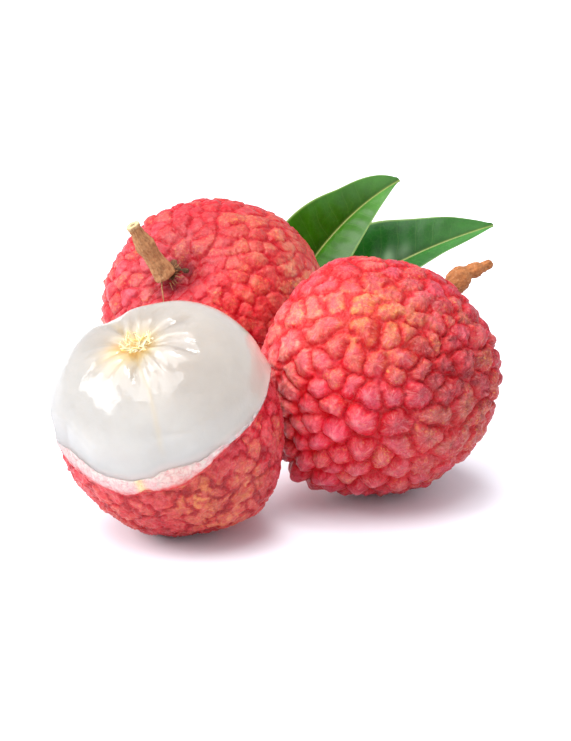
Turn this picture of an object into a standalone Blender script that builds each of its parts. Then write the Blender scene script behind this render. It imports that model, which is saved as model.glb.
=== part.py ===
"""A bunch of lychees resting on a table: two whole fruits on their stalks, one half peeled, and a sprig of two leaves.

Metres, +Z up. The bunch stands on z = 0 and its box is centred on the origin. Seen along +Y, the peeled
fruit is at the front left, one whole fruit at the right, the other behind them both on the left, and the
sprig lies behind. Every fruit is turned about its own axis, which points from its tip to its stalk.
"""

import math

import bmesh
import bpy
from mathutils import Quaternion, Vector

MM = 0.001

# Fit and contact
GAP = 0.3 * MM          # left between pieces that touch
BASE_SINK = 0.22 * MM   # how much of each fruit's underside is flattened where its tubercles bear on the table

# Whole fruits: radius across the rind's tubercles, and where each stands on the table
RIGHT_RADIUS = 18.9 * MM
RIGHT_PLACE = (0.0, 0.0)
RIGHT_AXIS = Vector((0.63, 0.57, 0.53))
LEFT_RADIUS = 19.3 * MM
LEFT_PLACE = (-26.1 * MM, 32.0 * MM)
LEFT_AXIS = Vector((-0.418, -0.643, 0.643))
TIP_SWELL = 0.055       # of the radius, the blunt point opposite the stalk
TIP_SPREAD = 25.0       # degrees from the tip that the point takes
SHOULDER_DROP = 0.05    # of the radius, how much the stalk end is flattened
SHOULDER_SPREAD = 48.0
CAVITY_DEPTH = 2.3 * MM  # the hollow that the stalk stands in
CAVITY_SPREAD = 17.0

# Peeled fruit: a rind cup with the flesh standing out of it
PEELED_RADIUS = 17.1 * MM
PEELED_PLACE = (-31.6 * MM, -17.9 * MM)
PEELED_AXIS = Vector((-0.32, -0.385, 0.867))
RIND_THICKNESS = 1.2 * MM
RIM_OUTER_ANGLE = 77.5  # degrees from the stalk end to the torn edge of the red skin
RIM_INNER_ANGLE = 71.5  # and to the edge of the white lining
FLESH_RADIUS = 17.5 * MM
FLESH_RISE = 2.2 * MM   # how far the bare flesh has swelled along the axis
DIMPLE_DEPTH = 2.6 * MM
DIMPLE_SPREAD = 13.0

# Stalks
LEFT_STALK_ROUTE = [(-8.4, -11.7, 10.8), (-9.9, -12.2, 13.1), (-11.7, -13.1, 16.4), (-13.2, -13.8, 19.3)]
RIGHT_STALK_ROUTE = [(10.9, 9.9, 9.2), (12.9, 11.6, 12.4), (14.9, 12.7, 13.3), (17.2, 13.8, 14.3)]
CARPEL_ROUTE = [(-6.1, -12.7, 11.5), (-5.4, -13.0, 11.5), (-4.6, -13.3, 11.4), (-3.9, -13.5, 11.3)]
CALYX_RADIUS = 2.2 * MM
CALYX_THICKNESS = 0.4 * MM

# Sprig
TWIG_RADIUS = 1.15 * MM
TWIG_ROUTE = [(-45.0, 55.0, 1.17), (-38.0, 55.3, 1.03), (-30.0, 55.1, 0.95), (-23.0, 54.6, 1.3), (-16.5, 54.0, 2.2)]
TALL_LEAF_RIB = [(-17.2, 53.9, 3.5), (-15.6, 52.2, 17.4), (-5.0, 51.4, 31.3), (5.0, 53.1, 36.3)]
TALL_LEAF_FACE = Vector((-0.257, -0.811, 0.527))
SIDE_LEAF_RIB = [(-15.7, 54.3, 2.7), (-9.0, 56.4, 13.1), (4.0, 57.2, 21.8), (21.9, 63.1, 25.0)]
SIDE_LEAF_FACE = Vector((-0.267, -0.633, 0.727))
LEAF_THICKNESS = 0.45 * MM
LEAF_HALF_WIDTH = 8.0 * MM
LEAF_FOLD = 33.0        # degrees each half is raised from flat
PETIOLE_SHARE = 0.10    # of the leaf's length, its narrow stalk
PETIOLE_HALF_WIDTH = 0.55 * MM

# Fineness of the meshes
TURN_STEPS = 32
PROFILE_STEPS = 20
LEAF_STATIONS = 16
LEAF_CELLS_ACROSS = 6


def clear_scene():
    for obj in list(bpy.data.objects):
        bpy.data.objects.remove(obj)


def new_collection(name):
    collection = bpy.data.collections.new(name)
    bpy.context.scene.collection.children.link(collection)
    return collection


def new_material(name, colour, roughness):
    material = bpy.data.materials.new(name)
    material.use_nodes = True
    shader = material.node_tree.nodes["Principled BSDF"]
    shader.inputs["Base Color"].default_value = (*colour, 1.0)
    shader.inputs["Roughness"].default_value = roughness
    shader.inputs["Metallic"].default_value = 0.0
    return material


def new_object(name, data, material, parent):
    """An object in the bunch's collection, placed in its parent's own space."""
    obj = bpy.data.objects.new(name, data)
    PARTS.objects.link(obj)
    obj.data.materials.append(material)
    obj.parent = parent
    return obj


def new_empty(name, place, axis=Vector((0, 0, 1))):
    """An empty whose +Z points along axis: the local space of one fruit."""
    empty = bpy.data.objects.new(name, None)
    PARTS.objects.link(empty)
    empty.location = place
    empty.rotation_mode = "QUATERNION"
    empty.rotation_quaternion = Vector((0, 0, 1)).rotation_difference(axis)
    return empty


# Outlines, as the radius from the fruit's centre at an angle from its stalk end


def bell(angle, spread):
    """1 at angle 0, falling smoothly to nothing past about twice the spread."""
    return math.exp(-((angle / spread) ** 2))


def whole_outline(angle, radius):
    shape = 1.0 + TIP_SWELL * bell(180.0 - angle, TIP_SPREAD) - SHOULDER_DROP * bell(angle, SHOULDER_SPREAD)
    return radius * shape - CAVITY_DEPTH * bell(angle, CAVITY_SPREAD)


def cup_outline(angle):
    return PEELED_RADIUS * (1.0 + 0.02 * bell(180.0 - angle, TIP_SPREAD))


def flesh_outline(angle):
    """The flesh fills the cup up to its rim, and bulges over it above."""
    turn = math.radians(angle)
    inside = cup_outline(angle) - RIND_THICKNESS - GAP
    outside = FLESH_RISE * math.cos(turn) + math.sqrt(FLESH_RADIUS**2 - (FLESH_RISE * math.sin(turn)) ** 2)
    outside -= DIMPLE_DEPTH * bell(angle, DIMPLE_SPREAD)
    above = 1.0 / (1.0 + math.exp((angle - RIM_INNER_ANGLE + 5.5) / 1.3))
    return inside + (outside - inside) * above


def arc(outline, first, last, steps):
    """Points of an outline in the XZ plane, from one angle to another."""
    points = []
    for i in range(steps + 1):
        angle = first + (last - first) * i / steps
        reach = outline(angle)
        turn = math.radians(angle)
        across = reach * math.sin(turn)
        points.append((0.0 if across < 1e-7 else across, 0.0, reach * math.cos(turn)))
    return points


def turned(name, profile, material, parent):
    """A solid of revolution about +Z, from a profile that runs down its outer side."""
    mesh = bpy.data.meshes.new(name)
    mesh.from_pydata(profile, [(i, i + 1) for i in range(len(profile) - 1)], [])
    obj = new_object(name, mesh, material, parent)
    screw = obj.modifiers.new("Turn", "SCREW")
    screw.axis = "Z"
    screw.steps = screw.render_steps = TURN_STEPS
    screw.use_merge_vertices = True
    screw.merge_threshold = 0.00001
    screw.use_smooth_shade = True
    return obj


def lowest_point(obj):
    """World height of the lowest point of the evaluated object."""
    bpy.context.view_layer.update()
    evaluated = obj.evaluated_get(bpy.context.evaluated_depsgraph_get())
    matrix = evaluated.matrix_world
    return min((matrix @ vertex.co).z for vertex in evaluated.data.vertices)


def set_down(empty, obj):
    """Lowers a fruit's empty until the fruit's underside is BASE_SINK below the table, and flattens it there."""
    empty.location.z -= lowest_point(obj) + BASE_SINK
    flatten = obj.modifiers.new("Resting patch", "BOOLEAN")
    flatten.operation = "DIFFERENCE"
    flatten.solver = "EXACT"
    flatten.object = TABLE


def new_table():
    """The block below z = 0 that flattens the fruits' undersides."""
    size = 0.3
    bpy.ops.mesh.primitive_cube_add(size=size, location=(0, 0, -size / 2))
    table = bpy.context.object
    table.name = "table_cutter"
    table.hide_render = True
    table.display_type = "WIRE"
    for collection in list(table.users_collection):
        collection.objects.unlink(table)
    CUTTERS.objects.link(table)
    return table


def tube(name, stations, material, parent, bevel_resolution=4):
    """A closed tube through stations of (x, y, z, radius)."""
    data = bpy.data.curves.new(name, "CURVE")
    data.dimensions = "3D"
    data.bevel_depth = 1.0
    data.bevel_resolution = bevel_resolution
    data.use_fill_caps = True
    spline = data.splines.new("POLY")
    spline.points.add(len(stations) - 1)
    for point, (x, y, z, radius) in zip(spline.points, stations):
        point.co = (x, y, z, 1.0)
        point.radius = radius
    spline.use_smooth = True
    return new_object(name, data, material, parent)


# Pieces


def cavity_floor(radius):
    """Height of the stalk hollow's floor above a whole fruit's centre."""
    return whole_outline(0.0, radius)


def whole_fruit(side, place, axis, radius):
    empty = new_empty(f"{side}_fruit_axis", (*place, radius), axis)
    profile = arc(lambda angle: whole_outline(angle, radius), 0.0, 180.0, PROFILE_STEPS)
    fruit = turned(f"{side}_fruit", profile, RIND, empty)
    set_down(empty, fruit)
    return empty


def calyx(side, empty, radius):
    """The dry disc between a fruit and its stalk."""
    bottom = cavity_floor(radius) + GAP
    top = bottom + CALYX_THICKNESS
    profile = [
        (0.0, 0.0, top),
        (CALYX_RADIUS * 0.8, 0.0, top),
        (CALYX_RADIUS, 0.0, top - 0.1 * MM),
        (CALYX_RADIUS, 0.0, bottom + 0.1 * MM),
        (CALYX_RADIUS * 0.8, 0.0, bottom),
        (0.0, 0.0, bottom),
    ]
    turned(f"{side}_calyx", profile, BARK, empty)


def stalk(name, empty, route, swellings):
    """A woody piece along a curve given from the fruit's centre. swellings holds (share of the curve, radius)."""
    stations = []
    for share, radius in swellings:
        point = empty.rotation_quaternion.inverted() @ bezier(route, share)
        stations.append((*point, radius * MM))
    return tube(name, stations, BARK, empty)


def left_stalk(empty):
    swellings = [
        (0.00, 1.60),
        (0.07, 1.85),
        (0.17, 1.55),
        (0.34, 1.45),
        (0.52, 1.45),
        (0.66, 1.45),
        (0.78, 1.25),
        (0.90, 1.00),
        (1.00, 0.85),
    ]
    stalk("left_stalk", empty, LEFT_STALK_ROUTE, swellings)


def right_stalk(empty):
    swellings = [
        (0.00, 1.30),
        (0.15, 1.35),
        (0.30, 1.75),
        (0.42, 1.95),
        (0.50, 1.60),
        (0.58, 1.20),
        (0.68, 1.30),
        (0.76, 1.05),
        (0.84, 0.75),
        (0.93, 0.72),
        (1.00, 0.50),
    ]
    stalk("right_stalk", empty, RIGHT_STALK_ROUTE, swellings)


def withered_carpel(empty):
    """The second carpel, which never swelled: a dry peg beside the left stalk."""
    stalk("left_withered_carpel", empty, CARPEL_ROUTE, [(0.0, 0.18), (0.45, 0.20), (0.65, 0.4), (0.85, 0.5), (1.0, 0.25)])


def rind_cup(empty):
    """The rind left on the peeled fruit. Its torn edge slopes from the red skin up to the white lining."""
    outer = arc(cup_outline, RIM_OUTER_ANGLE, 180.0, PROFILE_STEPS - 4)
    inner = arc(lambda angle: cup_outline(angle) - RIND_THICKNESS, 180.0, RIM_INNER_ANGLE, PROFILE_STEPS - 4)
    lip = (inner[-1][0] + 0.35 * MM, 0.0, inner[-1][2] - 0.1 * MM)
    return turned("peeled_rind", [inner[-1], lip, *outer, *inner[:-1], inner[-1]], RIND, empty)


def flesh(empty):
    return turned("peeled_flesh", arc(flesh_outline, 0.0, 180.0, PROFILE_STEPS + 8), FLESH, empty)


def bezier(points, share):
    """A point on the cubic through four control points."""
    a, b, c, d = (Vector(point) * MM for point in points)
    rest = 1.0 - share
    return a * rest**3 + b * 3 * rest**2 * share + c * 3 * rest * share**2 + d * share**3


def bezier_slope(points, share):
    step = 0.001
    return (bezier(points, share + step) - bezier(points, share - step)).normalized()


def leaf_half_width(share):
    """A lance-shaped blade on a narrow stalk, with a drawn-out tip."""
    blade = max(0.0, (share - PETIOLE_SHARE) / (1.0 - PETIOLE_SHARE))
    outline = math.sin(math.pi * blade**0.82) ** 1.1 if 0.0 < blade < 1.0 else 0.0
    return max(PETIOLE_HALF_WIDTH * (1.0 - 0.55 * blade), LEAF_HALF_WIDTH * outline)


def leaf(name, rib, face, parent):
    """A blade folded up along its midrib: a grid bent along the rib, made solid."""
    mesh = bpy.data.meshes.new(name)
    grid = bmesh.new()
    bmesh.ops.create_grid(grid, x_segments=LEAF_STATIONS, y_segments=LEAF_CELLS_ACROSS, size=1.0)
    fold = math.radians(LEAF_FOLD)
    for vertex in grid.verts:
        share, side = (vertex.co.x + 1.0) / 2.0, vertex.co.y
        slope = bezier_slope(rib, share)
        normal = (face - slope * face.dot(slope)).normalized()
        across = slope.cross(normal)
        reach = leaf_half_width(share) * side
        vertex.co = bezier(rib, share) + across * reach * math.cos(fold) + normal * abs(reach) * math.sin(fold)
    bmesh.ops.recalc_face_normals(grid, faces=grid.faces)
    grid.to_mesh(mesh)
    grid.free()
    mesh.shade_smooth()
    blade = new_object(name, mesh, LEAF, parent)
    thick = blade.modifiers.new("Thickness", "SOLIDIFY")
    thick.thickness = LEAF_THICKNESS
    thick.offset = 0.0
    return blade


def twig(parent):
    stations = [(x * MM, y * MM, z * MM, TWIG_RADIUS * (1.0 - 0.12 * i)) for i, (x, y, z) in enumerate(TWIG_ROUTE)]
    return tube("sprig_twig", stations, BARK, parent)


def centre_on_origin(bunch):
    """Moves the whole bunch so that the middle of its box is over the origin. The table cutter moves with it."""
    bpy.context.view_layer.update()
    graph = bpy.context.evaluated_depsgraph_get()
    corners = []
    for obj in PARTS.objects:
        if obj.type == "EMPTY":
            continue
        evaluated = obj.evaluated_get(graph)
        mesh = evaluated.to_mesh()
        corners += [evaluated.matrix_world @ vertex.co for vertex in mesh.vertices]
        evaluated.to_mesh_clear()
    for side in (0, 1):
        reach = [corner[side] for corner in corners]
        bunch.location[side] = -(min(reach) + max(reach)) / 2.0


clear_scene()
PARTS = new_collection("bunch_of_lychees")
CUTTERS = new_collection("cutters")
RIND = new_material("rind", (0.72, 0.10, 0.11), 0.55)
FLESH = new_material("flesh", (0.86, 0.83, 0.79), 0.18)
BARK = new_material("bark", (0.42, 0.22, 0.10), 0.8)
LEAF = new_material("leaf", (0.05, 0.16, 0.03), 0.35)
TABLE = new_table()

right = whole_fruit("right", RIGHT_PLACE, RIGHT_AXIS, RIGHT_RADIUS)
calyx("right", right, RIGHT_RADIUS)
right_stalk(right)

left = whole_fruit("left", LEFT_PLACE, LEFT_AXIS, LEFT_RADIUS)
calyx("left", left, LEFT_RADIUS)
left_stalk(left)
withered_carpel(left)

peeled = new_empty("peeled_fruit_axis", (*PEELED_PLACE, PEELED_RADIUS), PEELED_AXIS)
set_down(peeled, rind_cup(peeled))
flesh(peeled)

sprig = new_empty("sprig", (0, 0, 0))
twig(sprig)
leaf("tall_leaf", TALL_LEAF_RIB, TALL_LEAF_FACE, sprig)
leaf("side_leaf", SIDE_LEAF_RIB, SIDE_LEAF_FACE, sprig)

bunch = new_empty("bunch", (0, 0, 0))
for group in (right, left, peeled, sprig):
    group.parent = bunch
centre_on_origin(bunch)
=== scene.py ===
"""The looks of the bunch of lychees: bumpy rinds, wet flesh, bark, leaves, a pale table and soft light."""
import math
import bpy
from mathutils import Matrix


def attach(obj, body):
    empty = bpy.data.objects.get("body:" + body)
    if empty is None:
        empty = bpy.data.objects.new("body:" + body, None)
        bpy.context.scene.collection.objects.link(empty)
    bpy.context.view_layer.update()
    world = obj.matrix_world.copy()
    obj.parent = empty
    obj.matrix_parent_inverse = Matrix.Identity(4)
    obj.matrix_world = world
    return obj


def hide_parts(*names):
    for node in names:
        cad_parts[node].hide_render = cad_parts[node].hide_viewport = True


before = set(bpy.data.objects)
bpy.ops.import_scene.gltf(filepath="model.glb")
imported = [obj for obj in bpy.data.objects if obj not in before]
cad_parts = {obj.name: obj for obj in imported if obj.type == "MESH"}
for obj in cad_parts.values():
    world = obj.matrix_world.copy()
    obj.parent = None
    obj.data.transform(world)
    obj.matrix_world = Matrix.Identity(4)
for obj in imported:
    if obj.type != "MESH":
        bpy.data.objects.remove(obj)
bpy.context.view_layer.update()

from types import SimpleNamespace

import bpy
import numpy as np
from mathutils import Vector

MM = 0.001

# The fruits' own frames and outlines, as the CAD makes them (mm)


def unit(vectors):
    vectors = np.asarray(vectors, dtype=float)
    return vectors / np.linalg.norm(vectors, axis=-1, keepdims=True)


def fruit(centre, axis, radius):
    """A fruit's centre, the way from there to its stalk, and its radius."""
    return SimpleNamespace(centre=np.array(centre), axis=unit(axis), radius=radius)


RIGHT = fruit((13.8, -13.61, 18.63), (0.629, 0.569, 0.529), 18.9)
LEFT = fruit((-12.3, 18.39, 19.05), (-0.418, -0.643, 0.643), 19.3)
PEELED = fruit((-17.8, -31.51, 16.93), (-0.32, -0.385, 0.866), 17.1)
TABLE_GAP = 0.02  # mm: no skin and no twig is drawn lower than this

# Directions as the camera sees them, because the skins' areas are told from that side

ELEVATION = math.radians(18.5)  # of the camera
CAMERA_UP = np.array([0, math.sin(ELEVATION), math.cos(ELEVATION)])
TO_CAMERA = np.array([0, -math.cos(ELEVATION), math.sin(ELEVATION)])


def seen(right, up, towards):
    """An offset given as the camera sees it: to its right, up, and towards it."""
    return np.array([right, 0, 0]) + up * CAMERA_UP + towards * TO_CAMERA


def way(right, up, towards):
    """The same as a unit direction."""
    return unit(seen(right, up, towards))


LIGHT = 1.45  # how bright the studio is: the table goes white and so every colour is that much deeper


def linear(red, green, blue):
    """A colour given as it looks under the studio light, 0 to 255, as the linear values that shaders take."""
    out = []
    for value in (red, green, blue):
        value /= 255
        out.append(value / 12.92 if value <= 0.04045 else ((value + 0.055) / 1.055) ** 2.4)
    return np.array(out) / LIGHT


# Noise and small maths


class Noise:
    """Smooth gradient noise in 3-D, about -1 to 1, the same each run."""

    def __init__(self, seed):
        draw = np.random.default_rng(seed)
        self.order = np.concatenate([draw.permutation(256)] * 3)
        slopes = draw.normal(size=(256, 3))
        self.slopes = slopes / np.linalg.norm(slopes, axis=1)[:, None]

    def __call__(self, points, scale=1.0):
        points = np.asarray(points) / scale
        base = np.floor(points).astype(int)
        part = points - base
        base &= 255
        ease = part**3 * (part * (part * 6 - 15) + 10)
        total = np.zeros(len(points))
        for corner in np.ndindex(2, 2, 2):
            i, j, k = (base + corner).T
            slope = self.slopes[self.order[self.order[self.order[i] + j] + k]]
            weight = np.where(corner, ease, 1 - ease).prod(1)
            total += weight * (slope * (part - corner)).sum(1)
        return total * 1.7

    def fractal(self, points, scale, octaves=3, rough=0.5):
        """Noise with finer noise on top: each octave is half as large and rough times as strong."""
        total, size = 0.0, 1.0
        for octave in range(octaves):
            total = total + size * self(np.asarray(points) + 17.3 * octave, scale / 2**octave)
            size *= rough
        return total


def smooth(value, low, high):
    """0 below low, 1 above high, and an easy curve between."""
    share = np.clip((value - low) / (high - low), 0, 1)
    return share * share * (3 - 2 * share)


def bell(angle, spread):
    return np.exp(-((angle / spread) ** 2))


def mix(first, second, share):
    share = np.asarray(share)[..., None] if np.ndim(first) + np.ndim(second) > 0 else share
    return first * (1 - share) + second * share


def angle_between(directions, axis):
    return np.degrees(np.arccos(np.clip(directions @ unit(axis), -1, 1)))


def spot(directions, centre, spread):
    """1 at a direction, and less the further a point is from it: spread is in degrees."""
    return bell(angle_between(directions, centre), spread)


def swelling(directions, swells):
    """How far (mm) a surface swells at each point. A swell is (direction, spread in degrees, mm)."""
    return sum(rise * spot(directions, centre, spread) for centre, spread, rise in swells)


def painted_shading(directions, gains):
    """Painted light and shade: how many times brighter a skin's colour is made at each point. Each entry is
    (direction, spread in degrees, factor).
    """
    out = np.ones(len(directions))
    for centre, spread, factor in gains:
        out *= 1 + (factor - 1) * spot(directions, centre, spread)
    return out[:, None]


def rows_of(*columns):
    """Points in rows, from grids of their x, y and z that are brought to one shape."""
    return np.stack(np.broadcast_arrays(*columns), -1).reshape(-1, len(columns))


def turns(count):
    """Evenly spaced turns (radians) once round."""
    return np.linspace(0, 2 * math.pi, count, endpoint=False)


# Meshes


def grid_quads(index):
    """Four-cornered faces between the points of a grid, given as the points' numbers."""
    return np.stack([index[:-1, :-1], index[1:, :-1], index[1:, 1:], index[:-1, 1:]], -1).reshape(-1, 4)


def ring_faces(rings, sides, first=0):
    """Quads between rings of points that follow one another."""
    faces = []
    for low in range(first, first + (rings - 1) * sides, sides):
        for side in range(sides):
            after = (side + 1) % sides
            faces.append((low + side, low + after, low + sides + after, low + sides + side))
    return faces


def tube_faces(rings, sides, first=0):
    """The same, closed at both ends."""
    last = first + (rings - 1) * sides
    return ring_faces(rings, sides, first) + [range(first, first + sides)[::-1], range(last, last + sides)]


def sphere_grid(steps):
    """The corners and faces of a cube blown up to a unit sphere, with cells of nearly one size."""
    line = np.tan(np.linspace(-math.pi / 4, math.pi / 4, steps + 1))
    across, up = np.meshgrid(line, line, indexing="ij")
    ahead = np.ones_like(across)
    sides = [
        (ahead, across, up), (-ahead, -across, up), (-across, ahead, up),
        (across, -ahead, up), (-up, across, ahead), (up, across, -ahead),
    ]
    corners = np.concatenate([rows_of(*side) for side in sides])
    index = np.arange(across.size).reshape(across.shape)
    faces = np.concatenate([grid_quads(index) + number * index.size for number in range(len(sides))])
    _, first, back = np.unique(np.round(unit(corners), 6), axis=0, return_index=True, return_inverse=True)
    return unit(corners)[first], back.reshape(-1)[faces].tolist()


def new_piece(name, points, faces, material, slot, node=None, **values):
    """A mesh from points in mm that rides with the bunch, with one value or colour a point for each name."""
    mesh = bpy.data.meshes.new(name)
    mesh.from_pydata((np.asarray(points) * MM).tolist(), [], [tuple(face) for face in faces])
    mesh.shade_smooth()
    for label, data in values.items():
        data = np.asarray(data, dtype=float)
        if data.ndim == 2:
            layer = mesh.color_attributes.new(label, "FLOAT_COLOR", "POINT")
            layer.data.foreach_set("color", np.c_[data, np.ones(len(data))].ravel())
        else:
            layer = mesh.attributes.new(label, "FLOAT", "POINT")
            layer.data.foreach_set("value", data)
    mesh.materials.append(material)
    piece = bpy.data.objects.new(name, mesh)
    bpy.context.scene.collection.objects.link(piece)
    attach(piece, "root")
    if node:
        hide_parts(node)
    return piece


# Materials


class Look:
    """A material on the Principled shader, with short ways to add and join its nodes."""

    def __init__(self, name, **sockets):
        self.material = bpy.data.materials.new(name)
        self.material.use_nodes = True
        self.tree = self.material.node_tree
        self.shader = self.tree.nodes["Principled BSDF"]
        for label, value in sockets.items():
            self.shader.inputs[label.replace("_", " ")].default_value = value

    def put(self, node, socket, value):
        """Joins a socket to another node's output, or sets it to a value."""
        target = node.inputs[socket]
        if isinstance(value, bpy.types.NodeSocket):
            self.tree.links.new(value, target)
        elif np.ndim(value) == 1 and len(value) == 3 and len(getattr(target, "default_value", ())) == 4:
            target.default_value = (*value, 1.0)
        else:
            target.default_value = value

    def add(self, kind, *values, output=0, **named):
        """A new node's output. Values fill sockets in turn; capital names are sockets, others settings."""
        node = self.tree.nodes.new("ShaderNode" + kind)
        for label, value in named.items():
            if label[0].isupper():
                self.put(node, label, value)
            else:
                setattr(node, label, value)
        for place, value in enumerate(values):
            self.put(node, place, value)
        return node.outputs[output]

    def maths(self, how, *values):
        return self.add("Math", *values, operation=how)

    def value(self, label):
        return self.add("Attribute", output="Fac", attribute_name=label)

    def colour(self, label):
        return self.add("Attribute", output="Color", attribute_name=label)

    def where(self):
        return self.add("TexCoord", output="Object")

    def noise(self, size_mm, detail=3.0, roughness=0.55, distortion=0.0):
        return self.add(
            "TexNoise", Vector=self.where(), Scale=1 / (size_mm * MM), Detail=detail, Roughness=roughness,
            Distortion=distortion,
        )

    def cell_edges(self, size_mm, place=None):
        """Distance to the nearest edge of a mesh of cells, as a share of their size."""
        place, scale = place or self.where(), 1 / (size_mm * MM)
        edge = "DISTANCE_TO_EDGE"
        return self.add("TexVoronoi", output="Distance", feature=edge, Vector=place, Scale=scale)

    def ramp(self, value, *stops):
        """Stops are (place, grey or colour)."""
        node = self.tree.nodes.new("ShaderNodeValToRGB")
        self.tree.links.new(value, node.inputs["Fac"])
        elements = node.color_ramp.elements
        while len(elements) < len(stops):
            elements.new(0.5)
        for element, (place, colour) in zip(elements, stops):
            element.position = place
            element.color = (*([colour] * 3 if np.ndim(colour) == 0 else colour), 1.0)
        return node.outputs["Color"]

    def blend(self, first, second, share, how="MIX"):
        node = self.tree.nodes.new("ShaderNodeMix")
        node.data_type, node.blend_type = "RGBA", how
        for socket, value in ((0, share), (6, first), (7, second)):
            self.put(node, socket, value)
        return node.outputs[2]

    def times(self, base, shade):
        return self.blend(base, shade, 1.0, "MULTIPLY")

    def bump(self, height, strength, distance_mm, under=None):
        """Relief, laid over the relief under it."""
        more = {"Normal": under} if under else {}
        return self.add("Bump", Height=height, Strength=strength, Distance=distance_mm * MM, **more)

    def wire(self, **sockets):
        for label, value in sockets.items():
            self.put(self.shader, label.replace("_", " "), value)
        return self.material


def rind_material(name, speck, relief=1.0):
    """Rind: its colour comes with the mesh, broken up by fine mottling and thin yellowish flecks."""
    look = Look(
        name, Roughness=0.34, Specular_IOR_Level=0.2, Subsurface_Weight=0.22, Subsurface_Scale=0.0014,
        Subsurface_Radius=(1, 0.16, 0.15),
    )
    crown = look.value("crown")
    mottle = look.ramp(
        look.noise(0.8, 4, 0.72, 1.2), (0.32, (0.92, 0.58, 0.64)), (0.5, (1, 1, 1)), (0.7, (1.02, 1.35, 1.28))
    )
    base = look.blend(look.colour("tint"), mottle, 0.9, "MULTIPLY")
    # Pale and deep streaks that run out from the top of each cell
    streak = look.add("TexNoise", Vector=look.colour("spoke"), Scale=2.2, Detail=3, Roughness=0.6)
    pale = look.maths("MULTIPLY", look.ramp(streak, (0.54, 0), (0.64, 0.34)), crown)
    base = look.blend(base, linear(254, 174, 170), pale)
    deep = look.maths("MULTIPLY", look.ramp(streak, (0.36, 0.45), (0.46, 0)), crown)
    base = look.blend(base, (0.86, 0.42, 0.48), deep, "MULTIPLY")
    flecks = look.ramp(look.noise(0.8, 4, 0.7, 2), (0.55, 0), (0.63, 0.7))
    base = look.blend(base, linear(*speck), look.maths("MULTIPLY", flecks, look.value("fleck")))
    # Thin pale lines where a noise passes through its middle value
    lines = look.maths("ABSOLUTE", look.maths("SUBTRACT", look.noise(1.3, 3, 0.6, 1.5), 0.5))
    base = look.blend(base, linear(250, 150, 140), look.ramp(lines, (0, 0.16), (0.035, 0)))
    # Creases between wavering cells finer than the mesh's own
    wobble = look.add("TexNoise", output="Color", Vector=look.where(), Scale=1 / (1.5 * MM), Detail=3)
    wobble = look.add("VectorMath", wobble, operation="SCALE", Scale=1.1 * MM)
    place = look.add("VectorMath", look.where(), wobble, operation="ADD")
    crease = look.ramp(look.cell_edges(1.25, place), (0, 0), (0.16, 1))
    # Painted shade: the colour is darkened in the fine creases.
    base = look.times(base, look.ramp(crease, (0, 0.88), (1, 1)))
    fine = look.bump(look.noise(0.35, 4, 0.65), 0.35 * relief, 0.1)
    fine = look.bump(crease, 0.36 * relief, 0.14, fine)
    fine = look.bump(look.maths("MULTIPLY", streak, crown), 0.5, 0.3, fine)
    return look.wire(Base_Color=base, Normal=look.bump(look.noise(1.2, 4, 0.6, 1), 0.4 * relief, 0.3, fine))


# Rind: cells that rise to tubercles

LEAN = way(-0.5, -0.6, 0.4)  # the way that leaning tubercles lean
BLOCK = 6000  # points worked on at a time
LEAST_DEPTH = 0.25  # mm, from a cell's border to its middle
ROOM = 0.25  # mm that a skin gains where no other fruit is next to it


def region(right, up, towards, spread, **values):
    """Part of a skin: its middle as the camera sees it, how far it spreads in degrees, and its values."""
    return way(right, up, towards), spread, values


def blend_regions(directions, regions, rest):
    """Values that pass from one region to the next, and to the rest's where no region is near."""
    weights, tables = [np.full(len(directions), 0.25)], [rest]
    for centre, spread, values in regions:
        weights.append(3 * spot(directions, centre, spread))
        tables.append({**rest, **values})
    weights = np.array(weights)
    weights /= weights.sum(0)
    blended = {key: np.tensordot(np.array([table[key] for table in tables]), weights, (0, 0)) for key in rest}
    return SimpleNamespace(**blended)


def scatter(draw, spacing, radius, tries=9000):
    """Directions spread over a sphere, no closer (mm) than spacing says there. A few may be closer."""
    options = unit(draw.normal(size=(tries, 3)))
    sizes = np.where(draw.random(tries) < 0.9, draw.uniform(0.72, 1.35, tries), draw.uniform(0.4, 0.6, tries))
    kept, kept_gaps = np.empty((0, 3)), np.empty(0)
    for option, gap in zip(options, spacing(options) * sizes):
        if (np.linalg.norm(kept - option, axis=1) * radius > (kept_gaps + gap) / 2).all():
            kept = np.vstack([kept, option])
            kept_gaps = np.append(kept_gaps, gap)
    return kept


def find_cells(points, sites, along, stretch, soft):
    """Each point's cell and how far inside its border (mm) it is, with corners rounded off by soft (mm).

    Cells are longer along their own direction."""
    owner, border = np.empty(len(points), dtype=int), np.empty(len(points))
    for start in range(0, len(points), BLOCK):
        block = slice(start, start + BLOCK)
        away = points[block, None] - sites
        gap = (away**2).sum(-1) - stretch * np.einsum("ijk,jk->ij", away, along) ** 2
        near = np.argpartition(gap, 4, axis=1)[:, :5]
        near = np.take_along_axis(near, np.argsort(np.take_along_axis(gap, near, 1), 1), 1)
        gap = np.take_along_axis(gap, near, 1)
        apart = np.linalg.norm(sites[near[:, 1:]] - sites[near[:, :1]], axis=2)
        walls = (gap[:, 1:] - gap[:, :1]) / (2 * apart)
        owner[block] = near[:, 0]
        border[block] = -soft[block] * np.log(np.exp(-walls / soft[block, None]).sum(1))
    return owner, border


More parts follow.
